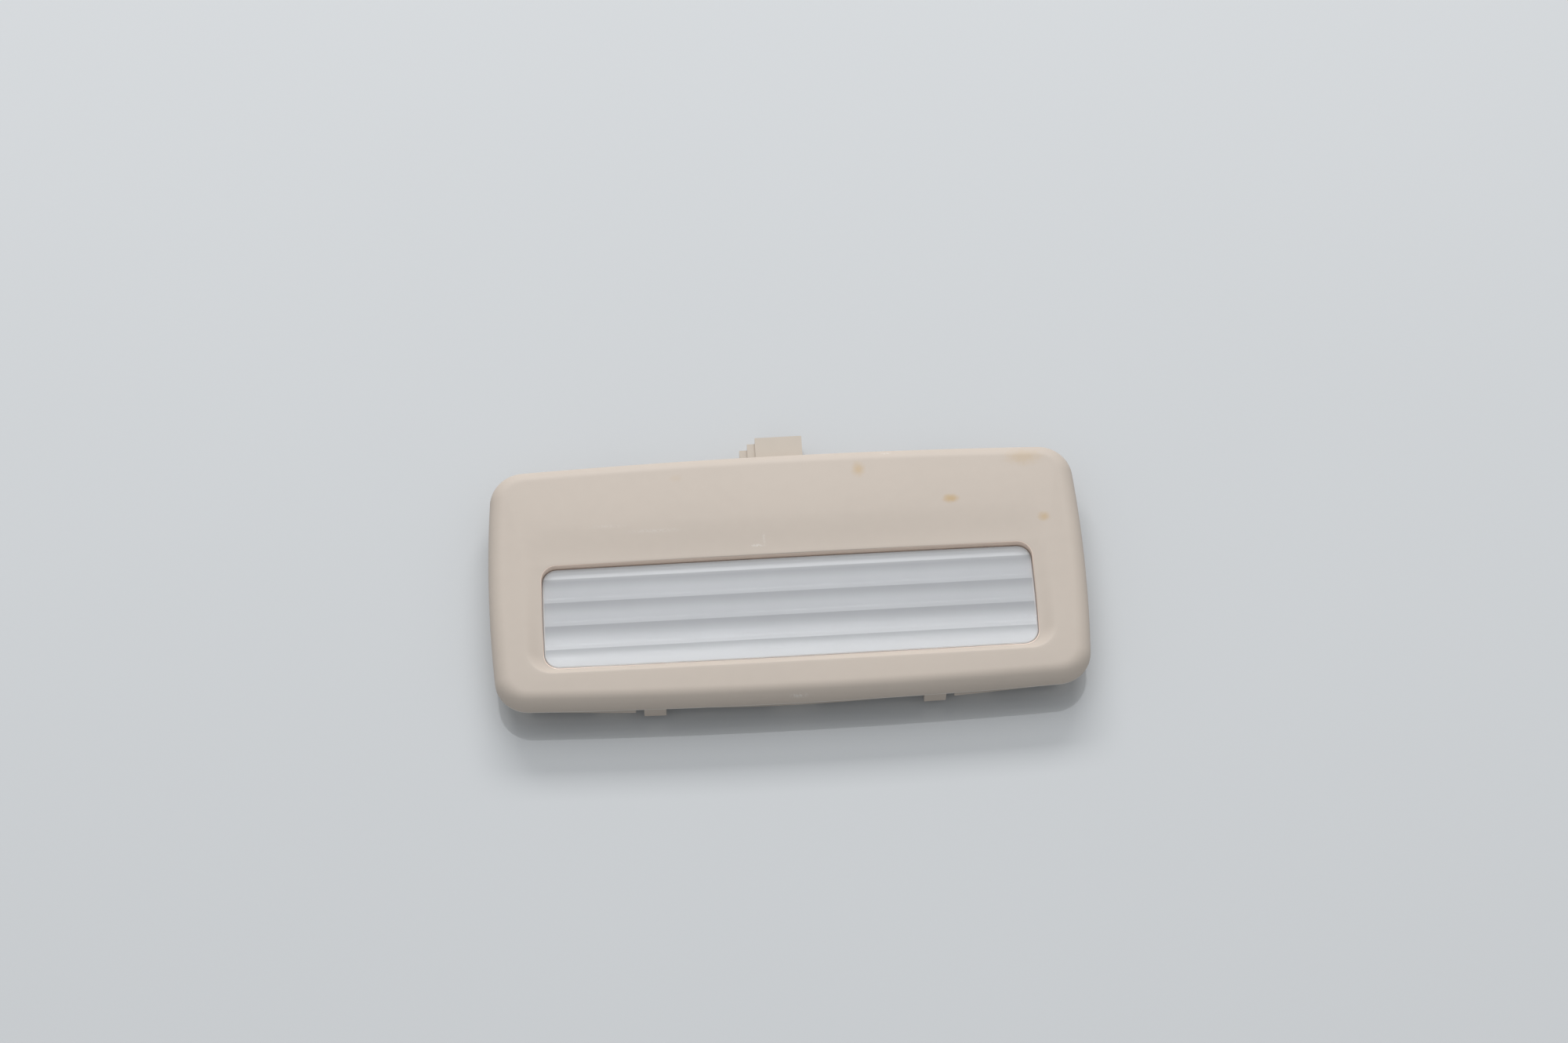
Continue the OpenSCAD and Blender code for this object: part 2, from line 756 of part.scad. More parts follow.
// One contact on the +X side, whose pin stands at the given place along X
module contact(pin_at) {
    foot_l = 4;
    run_x(blade_x, blade_x + strip_t) difference() {
        union() {
            translate([bulb_y - blade_w / 2, floor_t]) square([blade_w, blade_top - floor_t - 1]);
            translate([bulb_y - blade_w / 2 + 1, floor_t]) square([blade_w - 2, blade_top - floor_t]);
            for (s = [-1, 1]) translate([bulb_y + s * (blade_w / 2 - 1), blade_top - 1]) circle(1);
        }
        translate([bulb_y, bulb_z]) circle(d = tip_hole);
    }
    difference() {
        union() {
            block([blade_x, bulb_y - blade_w / 2, floor_t],
                [blade_x + foot_l, bulb_y + blade_w / 2, floor_t + strip_t]);
            block([blade_x + foot_l - strip_w, bulb_y, floor_t],
                [blade_x + foot_l, lane_y + strip_w / 2, floor_t + strip_t]);
            block([pin_at - pin_w / 2, lane_y - strip_w / 2, floor_t],
                [blade_x + foot_l, lane_y + strip_w / 2, floor_t + strip_t]);
        }
        for (x = post_x) translate([x, lane_y, 0]) cylinder(d = post_d + 0.2, h = ceiling_z);
    }
    block([pin_at - pin_w / 2, lane_y + strip_w / 2 - strip_t, floor_t],
        [pin_at + pin_w / 2, lane_y + strip_w / 2, pin_z + strip_t / 2]);
    block([pin_at - pin_w / 2, lane_y + strip_w / 2 - strip_t, pin_z - strip_t / 2],
        [pin_at + pin_w / 2, pin_end, pin_z + strip_t / 2]);
}

module contact_live() { color("goldenrod") contact(socket_x + pin_pitch / 2); }
module contact_earth() { color("goldenrod") mirror([1, 0, 0]) contact(-socket_x + pin_pitch / 2); }

// Openings in the far wall that the pins pass through
module pin_slots() {
    for (s = [-1, 1]) {
        x = socket_x + s * pin_pitch / 2;
        block([x - pin_w / 2 - 0.05, far_wall_y - tub_wall - past, pin_z - strip_t / 2 - 0.05],
            [x + pin_w / 2 + 0.05, socket_floor_y + past, pin_z + strip_t / 2 + 0.05]);
    }
}

// Retaining clip: a folded spring that is pressed into the far wall and bears on the trim
clip_low = floor_t + clip_rise + clip_gap;
clip_nose = half_width(clip_x, 0.6);
module retaining_clip() {
    y0 = half_width(clip_x + clip_w / 2, inner_inset) - clip_t - clip_gap;
    y1 = clip_wall_y + clip_gap;
    color("lightsteelblue") translate([clip_x - clip_w / 2, 0, 0]) run_x(0, clip_w) polygon([
        [y0, clip_low + 2.6], [y0, clip_low], [y1 + 0.9, clip_low],
        [clip_nose, clip_low + 1.0], [y1 + 0.5, clip_low + 2.6], [y1, clip_low + 2.6],
        [clip_nose - 0.6, clip_low + 1.05], [y1 + 0.7, clip_low + clip_t],
        [y0 + clip_t, clip_low + clip_t], [y0 + clip_t, clip_low + 2.6]]);
}

module retaining_clip_right() { retaining_clip(); }
module retaining_clip_left() { mirror([1, 0, 0]) retaining_clip(); }

bezel();
lens();
rear_housing();
reflector();
heat_shield();
bulb_glass();
bulb_cap_left();
bulb_cap_right();
bulb_filament();
bulb_leads();
contact_live();
contact_earth();
retaining_clip_left();
retaining_clip_right();
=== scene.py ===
"""Slim interior light for a car's roof lining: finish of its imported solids, stage and camera."""

import math

import bmesh
import bpy
from mathutils import Matrix, Vector


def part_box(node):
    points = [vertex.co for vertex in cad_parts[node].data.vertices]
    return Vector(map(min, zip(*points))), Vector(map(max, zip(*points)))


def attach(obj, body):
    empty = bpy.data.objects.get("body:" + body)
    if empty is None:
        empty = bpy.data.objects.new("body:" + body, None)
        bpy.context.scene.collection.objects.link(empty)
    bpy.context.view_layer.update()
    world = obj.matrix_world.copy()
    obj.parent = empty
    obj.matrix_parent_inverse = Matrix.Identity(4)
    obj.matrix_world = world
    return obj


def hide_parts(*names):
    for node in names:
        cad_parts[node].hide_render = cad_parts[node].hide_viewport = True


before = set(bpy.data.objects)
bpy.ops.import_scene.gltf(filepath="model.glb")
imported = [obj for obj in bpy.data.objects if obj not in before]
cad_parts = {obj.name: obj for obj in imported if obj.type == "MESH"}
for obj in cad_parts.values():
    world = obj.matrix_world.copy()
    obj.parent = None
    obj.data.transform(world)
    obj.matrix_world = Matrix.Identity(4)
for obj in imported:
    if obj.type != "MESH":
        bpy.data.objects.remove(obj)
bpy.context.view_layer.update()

bl_info = {
    "name": "Car interior light",
    "version": (1, 0, 0),
    "blender": (4, 5, 0),
    "location": "3D View > Sidebar > Light",
    "description": "Builds the finish of a slim moulded interior light and the stage it lies on",
    "category": "Object",
}

MM = 0.001
PLAY = 0.15  # gap between neighbours, in millimetres
PAST = 0.1  # how far cutters reach past a face, in millimetres


def in_mm(value):
    """A length in metres, given in millimetres to a tenth of a micron."""
    return round(value / MM, 4)


class InMm:
    """A property group whose lengths are read in millimetres."""

    def __init__(self, group):
        self.group = group

    def __getattr__(self, name):
        return in_mm(getattr(self.group, name))


BEZEL_HALF_L, BEZEL_HALF_W, BEZEL_TOP = (in_mm(edge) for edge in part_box("bezel")[1])
LENS_HALF_L, _, LENS_TOP = (in_mm(edge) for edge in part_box("lens")[1])


def seen(red, green, blue):
    """A screen colour from 0 to 255 as the linear colour that shaders take."""
    def linear(level):
        level /= 255
        return level / 12.92 if level <= 0.04045 else ((level + 0.055) / 1.055) ** 2.4
    return (linear(red), linear(green), linear(blue))


def length(name, description, millimetres):
    """A length property whose default is given in millimetres."""
    return bpy.props.FloatProperty(
        name=name, description=description, default=millimetres * MM, min=0.0,
        unit="LENGTH", subtype="DISTANCE", precision=5)


def colour(name, description, red, green, blue):
    """A colour property whose default is given as the eye sees it, from 0 to 255."""
    return bpy.props.FloatVectorProperty(
        name=name, description=description, default=seen(red, green, blue),
        subtype="COLOR", min=0.0, max=1.0, size=3)


def share(name, description, default):
    """A property from 0 to 1."""
    return bpy.props.FloatProperty(
        name=name, description=description, default=default, min=0.0, max=1.0,
        subtype="FACTOR")


def number(name, description, default, least=0.0):
    """A plain number property."""
    return bpy.props.FloatProperty(name=name, description=description, default=default, min=least)


def slant(name, description, degrees):
    """An angle property whose default is given in degrees."""
    return bpy.props.FloatProperty(
        name=name, description=description, default=math.radians(degrees), subtype="ANGLE")


# Properties

class BezelSizes(bpy.types.PropertyGroup):
    """Sizes of the bezel's moulding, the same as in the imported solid."""
    corner: length("Corner", "Radius of the corners seen from the front", 6.4)
    bow_long: length("Long bow", "How far each long side bows out", 1.2)
    bow_short: length("Short bow", "How far each short side bows out", 1.25)
    rim_height: length("Rim height", "Underside of the rim above the back plane", 5.4)
    rim_side: length("Rim side", "Upright part of the rim's edge", 0.5)
    rim_round: length("Rim round", "Radius of the round over the rim", 3.0)
    near_rise: length("Near rise", "Rise of the near strip over the rim", 0.1)
    crown_fall: length("Crown fall", "Fall of the crown towards its ends", 0.15)
    lower_round: length("Lower round", "Radius of the round under the rim", 0.25)
    rim_wall: length("Rim wall", "Wall beside the pocket for the tub", 2.2)
    ceiling: length("Ceiling", "Height of the pocket's ceiling", 7.0)
    window_corner: length("Window corner", "Corner radius of the window", 2.8)
    window_length: length("Window length", "Length of the window", 90.5)
    window_width: length("Window width", "Width of the window", 20.5)
    window_shift: length("Window shift", "Window's middle from the bezel's middle", 6.6)
    window_bow: length("Window bow", "How far each side of the window bows out", 0.15)
    slope_corner: length("Slope corner", "Corner radius of the slopes' outer edge", 5.0)
    slope_end: length("End slope", "Width of the soft slope at the window's ends", 3.5)
    slope_near: length("Near slope", "Width of the soft slope at the window's near side", 1.5)
    slope_far: length("Far slope", "Width of the long slope at the window's far side", 8.3)
    edge_far: length("Far edge", "Height of the window's far edge", 8.9)
    edge_near: length("Near edge", "Height of the window's near edge", 7.85)
    edge_round: length("Edge round", "Radius of the window's edge", 0.2)
    room_end: length("Room end", "Reach of the crown's hollow beyond the window's ends", 1.0)
    room_wall: length("Room wall", "Thickness between the crown's hollow and the far rim", 5.4)
    room_corner: length("Room corner", "Corner radius of the crown's hollow", 3.0)
    stake: length("Stake", "Diameter of the stakes for lens and heat shield", 1.4)
    stake_place: length("Stake place", "Distance of the lens's stakes from the middle", 47.95)
    stake_drop: length("Stake drop", "Drop of the lens's stakes below the ceiling", 1.5)
    shield_stake: length("Shield stake", "Distance of the shield's stakes from the middle", 21.0)
    shield_drop: length("Shield drop", "Drop of the shield's stakes below its top", 0.7)
    tub_gap: length("Tub gap", "Gap between the pocket's wall and the tub", 0.4)
    seat_width: length("Seat width", "Width of a snap seat", 6.3)
    seat_depth: length("Seat depth", "Depth of a snap seat in the wall", 0.6)
    seat_low: length("Seat low", "Underside of a snap seat above the rim's underside", 0.3)
    seat_high: length("Seat high", "Top of a snap seat above the rim's underside", 1.5)
    seat_upright: length("Seat upright", "Upright part of a snap seat under its slope", 0.75)
    seat_place: length("Seat place", "Distance of the long walls' seats from the middle", 40.0)
    seat_end: length("End seat", "Place of the seats in the end walls", 2.0)


class LipSizes(bpy.types.PropertyGroup):
    """Sizes of the lip and the tabs under the near edge."""
    inset: length("Inset", "Distance of the lip behind the rim's edge", 0.4)
    thickness: length("Thickness", "Thickness of the lip and the tabs", 1.2)
    drop: length("Drop", "Drop of the lip beside a tab", 1.8)
    end_drop: length("End drop", "Drop of the lip at its ends", 0.5)
    middle_drop: length("Middle drop", "Drop of the lip in the middle", 1.3)
    tab_place: length("Tab place", "Distance of each tab from the middle", 25.5)
    tab_width: length("Tab width", "Width of a tab", 4.0)
    tab_drop: length("Tab drop", "Drop of a tab below the rim", 3.4)
    notch: length("Notch", "Notch between a tab and the lip outside it", 1.5)
    end_gap: length("End gap", "Gap between the lip's end and the corner", 1.4)


class LensSizes(bpy.types.PropertyGroup):
    """Sizes of the fluted lens."""
    under: length("Underside", "Underside of the lens's flange", 6.0)
    flange: length("Flange", "Width of the flange beyond the window", 1.6)
    flute_pitch: length("Flute pitch", "Width of one flute", 4.75)
    flute_depth: length("Flute depth", "Depth of one flute", 0.45)
    flute_first: length("First flute", "Width of the first flute that shows", 4.0)
    flute_margin: length("Flute margin", "Flat margin of the flange round the flutes", 0.6)
    edge_round: length("Edge round", "Radius of the lens's upper edge", 0.25)
    ear_width: length("Ear width", "Width of the ears at the lens's ends", 4.0)
    stake_play: length("Stake play", "Extra diameter of the holes for the stakes", 0.2)


class Finish(bpy.types.PropertyGroup):
    """Colours, wear, and painted light and shade."""
    bezel: colour("Bezel", "Moulded bezel", 197, 184, 171)
    housing: colour("Housing", "Moulded tub", 196, 184, 170)
    stain: colour("Stain", "Orange-brown spots on the bezel", 188, 150, 78)
    # colour of the pale scuffs, and also of the painted glint and the painted highlight on the
    # rim's lower edge
    scuff_and_highlight: colour("Scuff", "Pale rubbed marks on the bezel", 226, 221, 214)
    # painted shade in the joint under the near rim
    painted_joint_shade: colour("Grime", "Dust in the joint under the rim", 96, 88, 80)
    # painted light on the window's wall, which stands in shade
    painted_wall_light: colour("Lit wall", "Window's wall, lit through the lens", 238, 216, 199)
    stain_strength: share("Stain strength", "How strong the darkest spot is", 0.55)
    # also sets the strength of the painted glint on the far edge
    scuff_and_glint_strength: share("Scuff strength", "How strong the rubbed marks are", 0.5)
    # strength of the painted shade in the joint under the rim
    joint_shade_strength: share("Grime strength", "How strong the dust in the joint is", 0.2)
    # strength of the painted highlight along the rim's lower edge
    edge_highlight_strength: share("Rub strength", "How rubbed the rim's lower edge is", 0.6)
    grain: length("Grain", "Size of the moulded grain", 0.28)


class StageSetting(bpy.types.PropertyGroup):
    """The table, the lights and the camera."""
    table: colour("Table", "Pale glossy table", 198, 199, 199)
    lamp_strength: number("Lamp strength", "Radiance of the wide lamp overhead", 0.95)
    back_strength: number("Back lamp strength", "Radiance of the low lamp behind", 10.0)
    fill_strength: number("Fill strength", "Brightness of the room round the table", 0.585)
    focal_length: number("Focal length", "Camera's focal length in millimetres", 90.0, 20.0)
    distance: length("Distance", "Camera's distance from what it looks at", 724.9)
    elevation: slant("Elevation", "Camera's height above the horizon", 62.8)
    turn: slant("Turn", "How far the camera stands to the left of the middle", 3.4)


# Outlines and meshes, in millimetres until a mesh is made

def mix(start, end, part):
    """Value or point between two others."""
    if isinstance(start, tuple):
        return tuple(a + (b - a) * part for a, b in zip(start, end))
    return start + (end - start) * part


def ease(part):
    """Soft start and end of a slope."""
    return part * part * (3 - 2 * part)


def held(value):
    """Value kept from 0 to 1."""
    return min(1.0, max(0.0, value))


SHORT_STEPS, CORNER_STEPS, LONG_STEPS = 12, 18, 36
TANGENT_ROUNDS = 8


def bowed_outline(half_l, half_w, bow_s, bow_l, radius, mid_y=0.0):
    """Points of a rounded outline with bowed sides, anticlockwise from the right side's middle."""
    centre = (half_l - radius, half_w - radius)
    for _ in range(TANGENT_ROUNDS):
        low = math.atan(2 * bow_s * centre[1] / half_w ** 2)
        high = math.pi / 2 - math.atan(2 * bow_l * centre[0] / half_l ** 2)
        side_y = centre[1] + radius * math.sin(low)
        top_x = centre[0] + radius * math.cos(high)
        centre = (half_l - bow_s * (side_y / half_w) ** 2 - radius * math.cos(low),
                  half_w - bow_l * (top_x / half_l) ** 2 - radius * math.sin(high))
    quarter = []
    for i in range(SHORT_STEPS):
        y = side_y * i / SHORT_STEPS
        quarter.append((half_l - bow_s * (y / half_w) ** 2, y))
    for i in range(CORNER_STEPS + 1):
        angle = mix(low, high, i / CORNER_STEPS)
        quarter.append((centre[0] + radius * math.cos(angle),
                        centre[1] + radius * math.sin(angle)))
    for i in reversed(range(LONG_STEPS)):
        x = top_x * i / LONG_STEPS
        quarter.append((x, half_w - bow_l * (x / half_l) ** 2))
    last = len(quarter) - 1
    loop = [quarter[i] for i in range(last)]
    loop += [(-quarter[i][0], quarter[i][1]) for i in range(last, 0, -1)]
    loop += [(-quarter[i][0], -quarter[i][1]) for i in range(last)]
    loop += [(quarter[i][0], -quarter[i][1]) for i in range(last, 0, -1)]
    return [(x, mid_y + y) for x, y in loop]


def at_height(outline, height):
    """Ring of an outline's points at one height."""
    return [(x, y, height) for x, y in outline]


def quarter_turn(steps, first=0):
    """Sine and cosine of even steps from 0 to 90 degrees."""
    angles = [math.pi / 2 * k / steps for k in range(first, steps + 1)]
    return [(math.sin(angle), math.cos(angle)) for angle in angles]


def loft(first, last, steps, height):
    """Rings that lead from one outline to another, each point at the height given for it."""
    rings = []
    for k in range(1, steps + 1):
        part = k / steps
        points = [mix(a, b, part) for a, b in zip(first, last)]
        rings.append([(*point, height(point, part)) for point in points])
    return rings


def mesh_object(name, points, faces):
    """Mesh object from points in millimetres."""
    mesh = bpy.data.meshes.new(name)
    mesh.from_pydata([(x * MM, y * MM, z * MM) for x, y, z in points], [], faces)
    mesh.validate()
    build = bmesh.new()
    build.from_mesh(mesh)
    bmesh.ops.recalc_face_normals(build, faces=build.faces)
    build.to_mesh(mesh)
    build.free()
    piece = bpy.data.objects.new(name, mesh)
    bpy.context.scene.collection.objects.link(piece)
    return piece


def ring_shell(name, rings, closed_tube=False):
    """Shell through rings of equal length: capped at both ends, or joined last to first."""
    count = len(rings[0])
    points = [p for ring in rings for p in ring]
    faces = []
    spans = len(rings) if closed_tube else len(rings) - 1
    for k in range(spans):
        after = (k + 1) % len(rings)
        for i in range(count):
            j = (i + 1) % count
            faces.append((k * count + i, k * count + j, after * count + j, after * count + i))
    if not closed_tube:
        faces.append(tuple(reversed(range(count))))
        faces.append(tuple((len(rings) - 1) * count + i for i in range(count)))
    return mesh_object(name, points, faces)


def prism(name, outline, low, high):
    """Upright prism over an outline."""
    return ring_shell(name, [at_height(outline, low), at_height(outline, high)])


def bar(name, section, ends):
    """Prism along X over a section of Y and Z, between two ends."""
    return ring_shell(name, [[(x, y, z) for y, z in section] for x in ends])


def box_outline(low_x, high_x, low_y, high_y):
    """Corners of a rectangle."""
    return [(high_x, low_y), (high_x, high_y), (low_x, high_y), (low_x, low_y)]


def round_box(half_l, low_y, high_y, radius, steps=8):
    """Rounded rectangle that reaches as far to the left as to the right."""
    points = []
    corners = ((half_l - radius, high_y - radius, 0), (-half_l + radius, high_y - radius, 90),
               (-half_l + radius, low_y + radius, 180), (half_l - radius, low_y + radius, 270))
    for cx, cy, start in corners:
        for i in range(steps + 1):
            angle = math.radians(start + 90 * i / steps)
            points.append((cx + radius * math.cos(angle), cy + radius * math.sin(angle)))
    return points


def disc(cx, cy, diameter, steps=32):
    """Points of a circle."""
    angles = [2 * math.pi * i / steps for i in range(steps)]
    return [(cx + diameter / 2 * math.cos(angle), cy + diameter / 2 * math.sin(angle))
            for angle in angles]


def keep_result(piece):
    """Puts the outcome of a piece's modifiers into its mesh."""
    bpy.context.view_layer.update()
    graph = bpy.context.evaluated_depsgraph_get()
    outcome = bpy.data.meshes.new_from_object(piece.evaluated_get(graph))
    piece.modifiers.clear()
    old = piece.data
    piece.data = outcome
    bpy.data.meshes.remove(old)


def combine(piece, tools, operation):
    """Joins, cuts or intersects a piece with tools by their boolean, and drops the tools."""
    for tool in tools:
        step = piece.modifiers.new("combine", "BOOLEAN")
        step.operation = operation
        step.solver = "EXACT"
        step.object = tool
    keep_result(piece)
    for tool in tools:
        mesh = tool.data
        bpy.data.objects.remove(tool)
        bpy.data.meshes.remove(mesh)


def smooth(piece, angle_deg):
    """Smooth shading that stays sharp at edges over an angle; no vertex moves."""
    piece.data.shade_smooth()
    piece.data.set_sharp_from_angle(angle=math.radians(angle_deg))


def soften(piece, radius_mm):
    """Small round on every sharp edge."""
    bevel = piece.modifiers.new("edge_round", "BEVEL")
    bevel.width = radius_mm * MM
    bevel.segments = 2
    bevel.limit_method = "ANGLE"
    bevel.angle_limit = math.radians(35.0)
    bevel.harden_normals = True


def settle(piece, material, nodes):
    """Gives a new piece its material, hangs it on the root body and hides the imported nodes it
    stands for.
    """
    piece.data.materials.clear()
    piece.data.materials.append(material)
    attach(piece, "root")
    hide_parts(*nodes)


def dress(node, material, round_mm=0.0):
    """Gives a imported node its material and, where wanted, small rounds on its edges."""
    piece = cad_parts[node]
    for place in range(len(piece.data.materials)):
        piece.data.materials[place] = material
    if not piece.data.materials:
        piece.data.materials.append(material)
    if round_mm:
        soften(piece, round_mm)
    return piece


# Shader maths

class Signal:
    """A shader socket that takes part in Python arithmetic."""

    def __init__(self, shader, socket):
        self.shader = shader
        self.socket = socket

    def maths(self, operation, *values):
        """Adds a Math node for an operation on signals and numbers."""
        inputs = dict(enumerate(values))
        return self.shader.node("ShaderNodeMath", {"operation": operation}, inputs)[0]

    def __add__(self, other):
        return self.maths("ADD", self, other)

    def __radd__(self, other):
        return self.maths("ADD", other, self)

    def __sub__(self, other):
        return self.maths("SUBTRACT", self, other)

    def __rsub__(self, other):
        return self.maths("SUBTRACT", other, self)

    def __mul__(self, other):
        return self.maths("MULTIPLY", self, other)

    def __truediv__(self, other):
        return self.maths("DIVIDE", self, other)

    def __abs__(self):
        return self.maths("ABSOLUTE", self)

    def most(self, other):
        return self.maths("MAXIMUM", self, other)

    def root(self):
        return self.maths("SQRT", self)

    def fraction(self):
        return self.maths("FRACT", self)

    def band(self, start, end):
        """0 before start, 1 after end, with a soft slope between."""
        settings = {"interpolation_type": "SMOOTHSTEP", "clamp": True}
        inputs = {"Value": self, "From Min": start, "From Max": end, "To Min": 0.0, "To Max": 1.0}
        return self.shader.node("ShaderNodeMapRange", settings, inputs)[0]

    def between(self, start, full, fade, end):
        """1 from full to fade, with a soft slope to 0 on each side."""
        return self.band(start, full) - self.band(fade, end)


class Outputs:
    """The outputs of one shader node, by place or name."""

    def __init__(self, shader, node):
        self.shader = shader
        self.node = node

    def __getitem__(self, key):
        return Signal(self.shader, self.node.outputs[key])


class Shader:
    """A material under construction."""

    def __init__(self, name):
        self.material = bpy.data.materials.new(name)
        self.material.use_nodes = True
        self.tree = self.material.node_tree
        self.tree.nodes.clear()
        self.place = self.node("ShaderNodeTexCoord")["Object"]

    def node(self, kind, settings=None, inputs=None):
        """Adds a node: its settings first, then the values or links of its sockets."""
        added = self.tree.nodes.new(kind)
        for key, value in (settings or {}).items():
            setattr(added, key, value)
        for key, value in (inputs or {}).items():
            socket = added.inputs[key]
            if isinstance(value, Signal):
                self.tree.links.new(value.socket, socket)
            elif isinstance(value, tuple) and len(value) == 3 and socket.type == "RGBA":
                socket.default_value = (*value, 1.0)
            else:
                socket.default_value = value
        return Outputs(self, added)

    def noise(self, size, detail, roughness=0.5, place=None):
        """Noise from 0 to 1 whose blotches are about as wide as size, in metres."""
        inputs = {"Vector": place or self.place, "Scale": 1.0 / size,
                  "Detail": detail, "Roughness": roughness}
        return self.node("ShaderNodeTexNoise", None, inputs)[0]

    def drawn_out(self, share_x):
        """Object coordinates for noise that is drawn out along X."""
        inputs = {0: self.place, 1: (share_x, 1.0, 1.0)}
        return self.node("ShaderNodeVectorMath", {"operation": "MULTIPLY"}, inputs)[0]

    def axes(self):
        """X, Y and Z of the object coordinates."""
        parts = self.node("ShaderNodeSeparateXYZ", None, {0: self.place})
        return parts[0], parts[1], parts[2]

    def blend(self, factor, first, second):
        """Colour between two others."""
        inputs = {0: factor, 6: first, 7: second}
        return self.node("ShaderNodeMix", {"data_type": "RGBA"}, inputs)[2]

    def bump(self, height, depth, strength, normal=None):
        """Normal from a height of 0 to 1 that stands for depth, in metres."""
        inputs = {"Height": height, "Distance": depth, "Strength": strength}
        if normal is not None:
            inputs["Normal"] = normal
        return self.node("ShaderNodeBump", None, inputs)[0]

    def finish(self, **inputs):
        """Principled surface with the given sockets, words joined by underscores."""
        named = {key.replace("_", " "): value for key, value in inputs.items()}
        surface = self.node("ShaderNodeBsdfPrincipled", None, named)[0]
        self.node("ShaderNodeOutputMaterial", None, {"Surface": surface})
        return self.material


def shades(base, spread=0.015):
    """A slightly darker and a slightly lighter tone of a colour."""
    return [tuple(min(1.0, level * factor) for level in base)
            for factor in (1 - spread, 1 + spread)]


def spot(x, y, place, waver):
    """Mask of one soft-edged spot: place is its middle, length and width in millimetres."""
    middle_x, middle_y, long, wide = (value * MM for value in place)
    across = (x - middle_x) / long
    along = (y - middle_y) / wide
    reach = (across * across + along * along).root() + waver
    return 1.0 - reach.band(0.1, 1.35)


# Marks on the face: x, y, length and width in millimetres, and strength
STAINS = (
    (31.1, 13.1, 1.5, 0.95, 1.0),
    (14.4, 20.3, 1.2, 1.6, 0.7),
    (48.0, 8.4, 1.2, 1.0, 0.75),
    (45.3, 21.2, 3.6, 1.8, 0.45),
    (-19.6, 20.4, 1.3, 0.8, 0.16),
)
SCUFFS_AND_GLINT = (
    (-5.2, 5.6, 1.4, 0.35, 0.9),
    (-3.9, 6.9, 0.3, 1.1, 0.7),
    (-24.0, 9.6, 5.5, 0.5, 0.35),
    (-33.0, 11.0, 4.0, 0.4, 0.28),
    # painted glint on the far edge, not a scuff
    (19.8, 23.6, 0.9, 0.25, 1.0),
    (0.7, -24.6, 1.6, 0.3, 1.0),
)


def marked_face(shader, tint, roughness, finish):
    """Adds brown spots, pale rubbed marks and one painted glint to the face's colour and roughness.
    """
    x, y, _ = shader.axes()
    waver = shader.noise(0.9 * MM, 3.0) * 0.7 - 0.35
    for *place, strength in STAINS:
        mask = spot(x, y, place, waver) * (strength * finish.stain_strength)
        tint = shader.blend(mask, tint, tuple(finish.stain))
    scratches = shader.noise(0.35 * MM, 2.0).band(0.38, 0.6)
    for *place, strength in SCUFFS_AND_GLINT:
        mask = spot(x, y, place, waver) * scratches * (strength * finish.scuff_and_glint_strength)
        tint = shader.blend(mask, tint, tuple(finish.scuff_and_highlight))
        roughness = roughness + mask * 0.15
    return tint, roughness


def painted_rim_light(shader, tint, finish, rim, tab_place, half_tab):
    """Paints shade into the joint under the near rim, except on the tabs, and paints a highlight
    along the rim's lower edge.
    """
    x, y, z = shader.axes()
    wall_inside = -23.0 * MM
    near = 1.0 - y.band(wall_inside, wall_inside + 0.5 * MM)
    # painted shade: darkens the lip just under the rim
    joint_shade = z.between(rim - 1.5 * MM, rim - 1.0 * MM, rim, rim + 0.1 * MM) * near
    beside_tabs = abs(abs(x) - tab_place).band(half_tab - 0.1 * MM, half_tab + 0.1 * MM)
    tint = shader.blend(joint_shade * beside_tabs * finish.joint_shade_strength, tint, tuple(finish.painted_joint_shade))
    # painted highlight: a pale line along the rim's lower edge
    edge_highlight = z.between(rim + 0.05 * MM, rim + 0.15 * MM, rim + 0.35 * MM, rim + 0.5 * MM) * near
    return shader.blend(edge_highlight * finish.edge_highlight_strength, tint, tuple(finish.scuff_and_highlight))


def painted_wall_light(shader, tint, finish, sizes):
    """Paints light on the window's wall, which stands in shade, up to its rounded edge."""
    x, y, _ = shader.axes()
    corner = sizes.window_corner
    beyond_x = (abs(x) - (sizes.window_length / 2 - corner)).most(0.0)
    beyond_y = (abs(y + sizes.window_shift) - (sizes.window_width / 2 - corner)).most(0.0)
    distance = (beyond_x * beyond_x + beyond_y * beyond_y).root()
    # painted light: the wall's colour is lightened
    wall = 1.0 - distance.band(corner, corner + 0.08 * MM)
    return shader.blend(wall, tint, tuple(finish.painted_wall_light))


def beige_moulding(name, base, finish, sizes=None, lip=None):
    """Satin moulded plastic with a fine grain; given the bezel's sizes, also its marks of use, a
    painted glint, painted shade and a painted highlight at the near rim, and painted light on the
    window's wall.
    """
    shader = Shader(name)
    broad = shader.noise(18 * MM, 3.0)
    fine = shader.noise(2.2 * MM, 3.0)
    tint = shader.blend((broad * 0.65 + fine * 0.35).band(0.3, 0.7), *shades(base))
    roughness = 0.5 + broad * 0.1
    if sizes:
        tint, roughness = marked_face(shader, tint, roughness, finish)
        # painted shade and a painted highlight at the near rim
        tint = painted_rim_light(shader, tint, finish, sizes.rim_height, lip.tab_place, lip.tab_width / 2)
        # painted light on the window's wall
        tint = painted_wall_light(shader, tint, finish, sizes)
    grain = shader.noise(finish.grain, 2.0, 0.55)
    orange_peel = shader.noise(3.5 * MM, 1.0)
    normal = shader.bump(grain, 0.006 * MM, 0.6, shader.bump(orange_peel, 0.02 * MM, 0.4))
    return shader.finish(Base_Color=tint, Roughness=roughness, Normal=normal,
                         IOR=1.49, Specular_IOR_Level=0.35)


